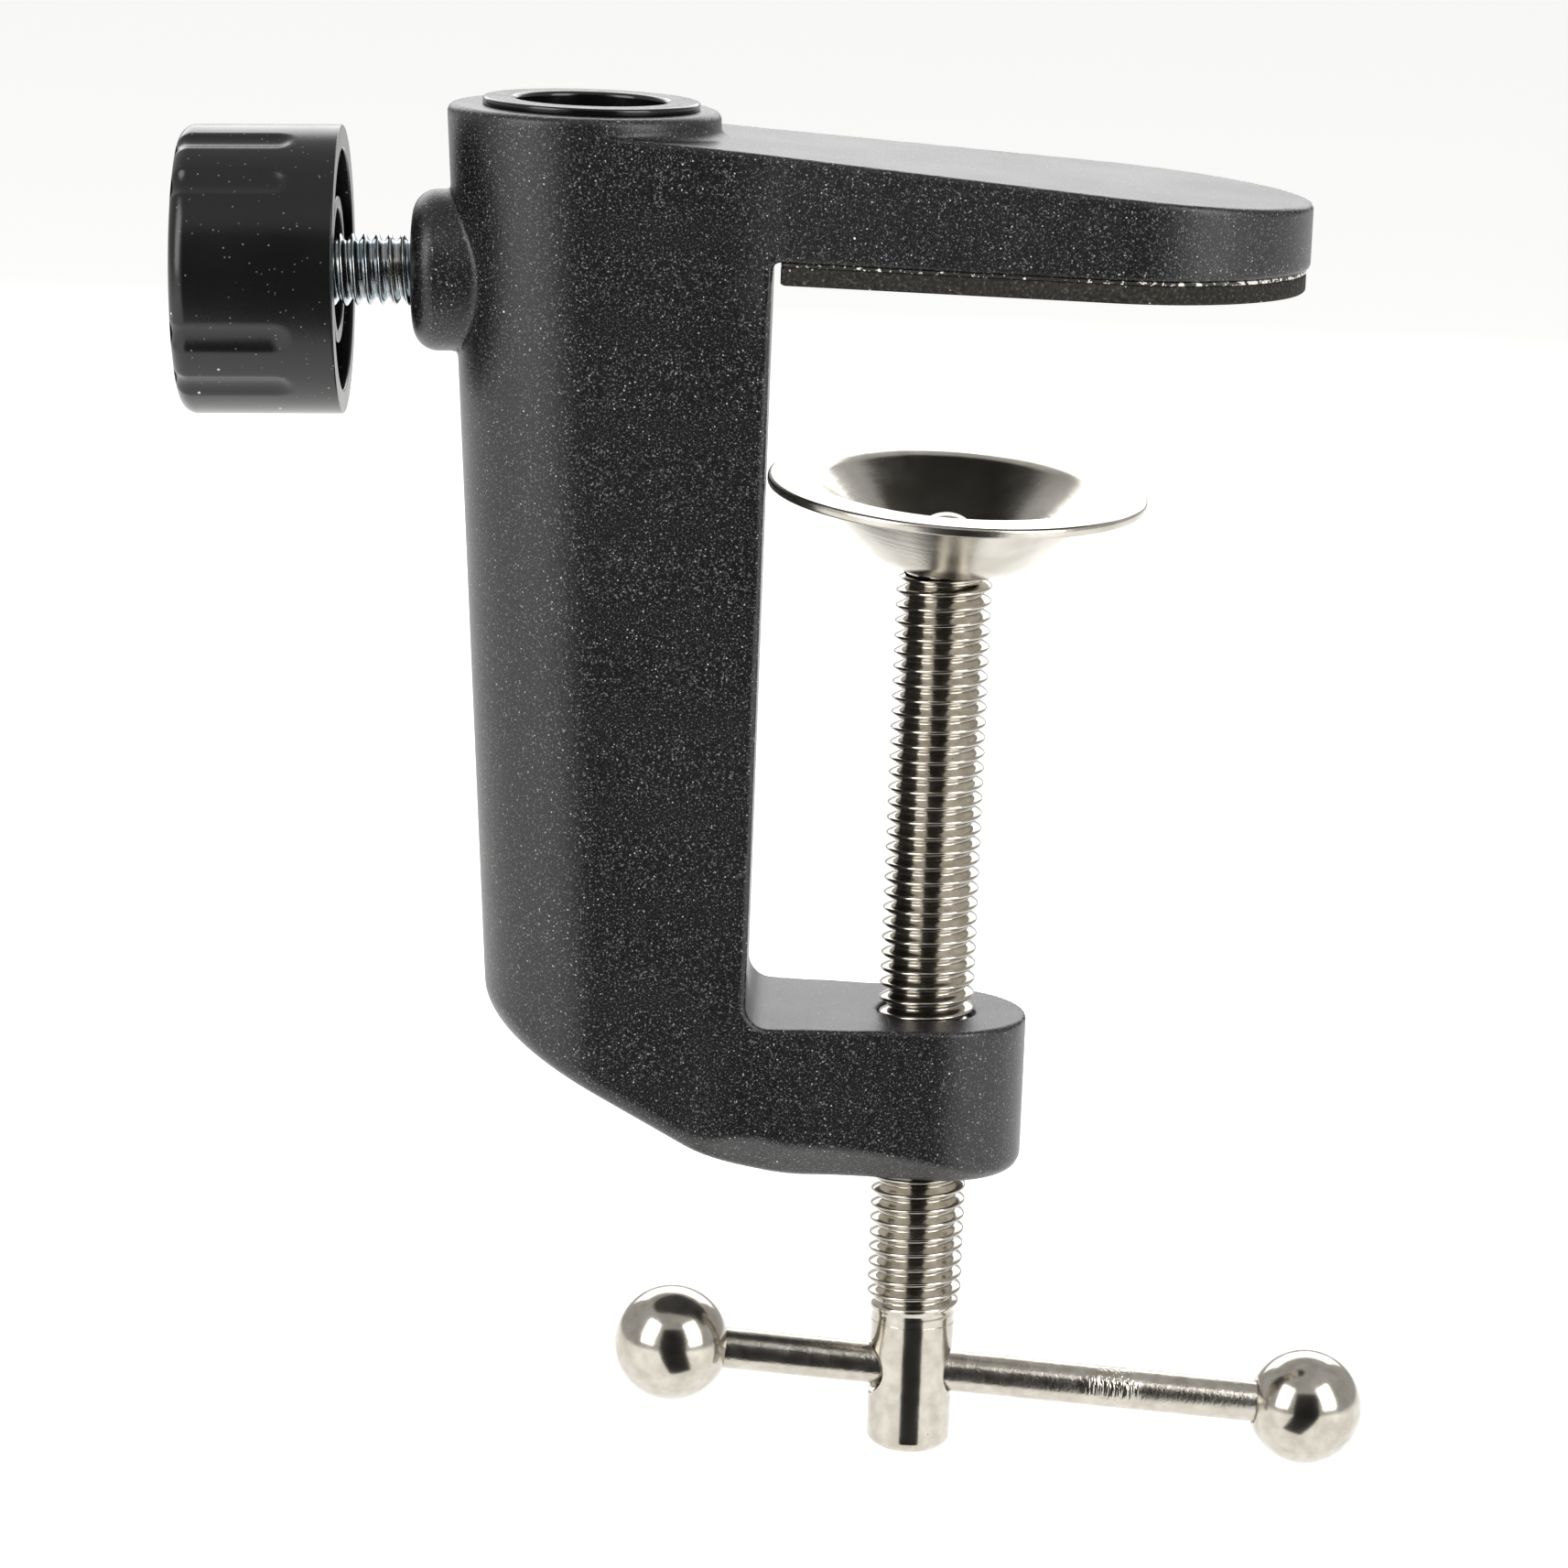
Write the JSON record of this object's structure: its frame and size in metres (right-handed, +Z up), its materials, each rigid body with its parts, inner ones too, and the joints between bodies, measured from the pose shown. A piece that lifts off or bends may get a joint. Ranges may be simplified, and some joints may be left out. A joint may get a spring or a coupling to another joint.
{
  "type": "airbrush holder clamp stand",
  "caption": "Table-edge clamp with a vertical post socket, side lock knob, padded jaw, dished pressure plate and a screw turned by a sliding ball-ended bar.",
  "frame": {"origin": "underside of the jaw pad, on the clamp screw's axis", "axes": "+Z up along the clamp screw, +X from the column towards the jaw's tip, -Y towards the front; longest along Z, shortest along Y"},
  "size_m": [0.1, 0.0306, 0.1116],
  "materials": {
    "frame_coat": "fine textured black powder coat on die-cast alloy",
    "sleeve_plastic": "glossy black moulded plastic",
    "adhesive": "thin clear adhesive layer",
    "pad_rubber": "matt black cellular rubber",
    "zinc_steel": "bright bluish zinc plating on steel",
    "knob_plastic": "satin black moulded plastic",
    "nickel_steel": "bright warm nickel plating on steel",
    "stamped_nickel": "satin nickel plating on stamped sheet"
  },
  "bodies": {
    "frame": {"clamp_frame": "frame_coat", "socket_sleeve": "sleeve_plastic", "pad_adhesive": "adhesive", "jaw_pad": "pad_rubber"},
    "plate": {"pressure_plate": "stamped_nickel"},
    "screw": {"clamp_screw": "nickel_steel"},
    "bar": {"tommy_bar": "nickel_steel", "left_ball": "nickel_steel", "right_ball": "nickel_steel"},
    "lock_stud": {"lock_screw": "zinc_steel"},
    "knob": {"lock_knob": "knob_plastic"}
  },
  "joints": [
    {"name": "clamp_travel", "type": "slide", "parent": "frame", "child": "plate", "axis": [0, 0, 1], "range_m": [-0.0361, 0.0111]},
    {"name": "screw_turn", "type": "hinge", "parent": "plate", "child": "screw", "pos_m": [0, 0, -0.05], "axis": [0, 0, 1], "range_deg": [-10368, 3168]},
    {"name": "bar_slide", "type": "slide", "parent": "screw", "child": "bar", "axis": [0.9919, 0.0868, -0.0924], "range_m": [-0.025, 0.0115]},
    {"name": "lock_travel", "type": "slide", "parent": "frame", "child": "lock_stud", "axis": [0.9994, 0, 0.0349], "range_m": [-0.00401, 0.00501]},
    {"name": "lock_turn", "type": "hinge", "parent": "lock_stud", "child": "knob", "pos_m": [-0.05458, 0, -0.00155], "axis": [0.9994, 0, 0.0349], "range_deg": [-1440, 1800]}
  ],
  "couplings": [
    {"joint": "clamp_travel", "follows": "screw_turn", "m_per_rad": 0.00019894},
    {"joint": "lock_travel", "follows": "lock_turn", "m_per_rad": 0.00015915}
  ]
}
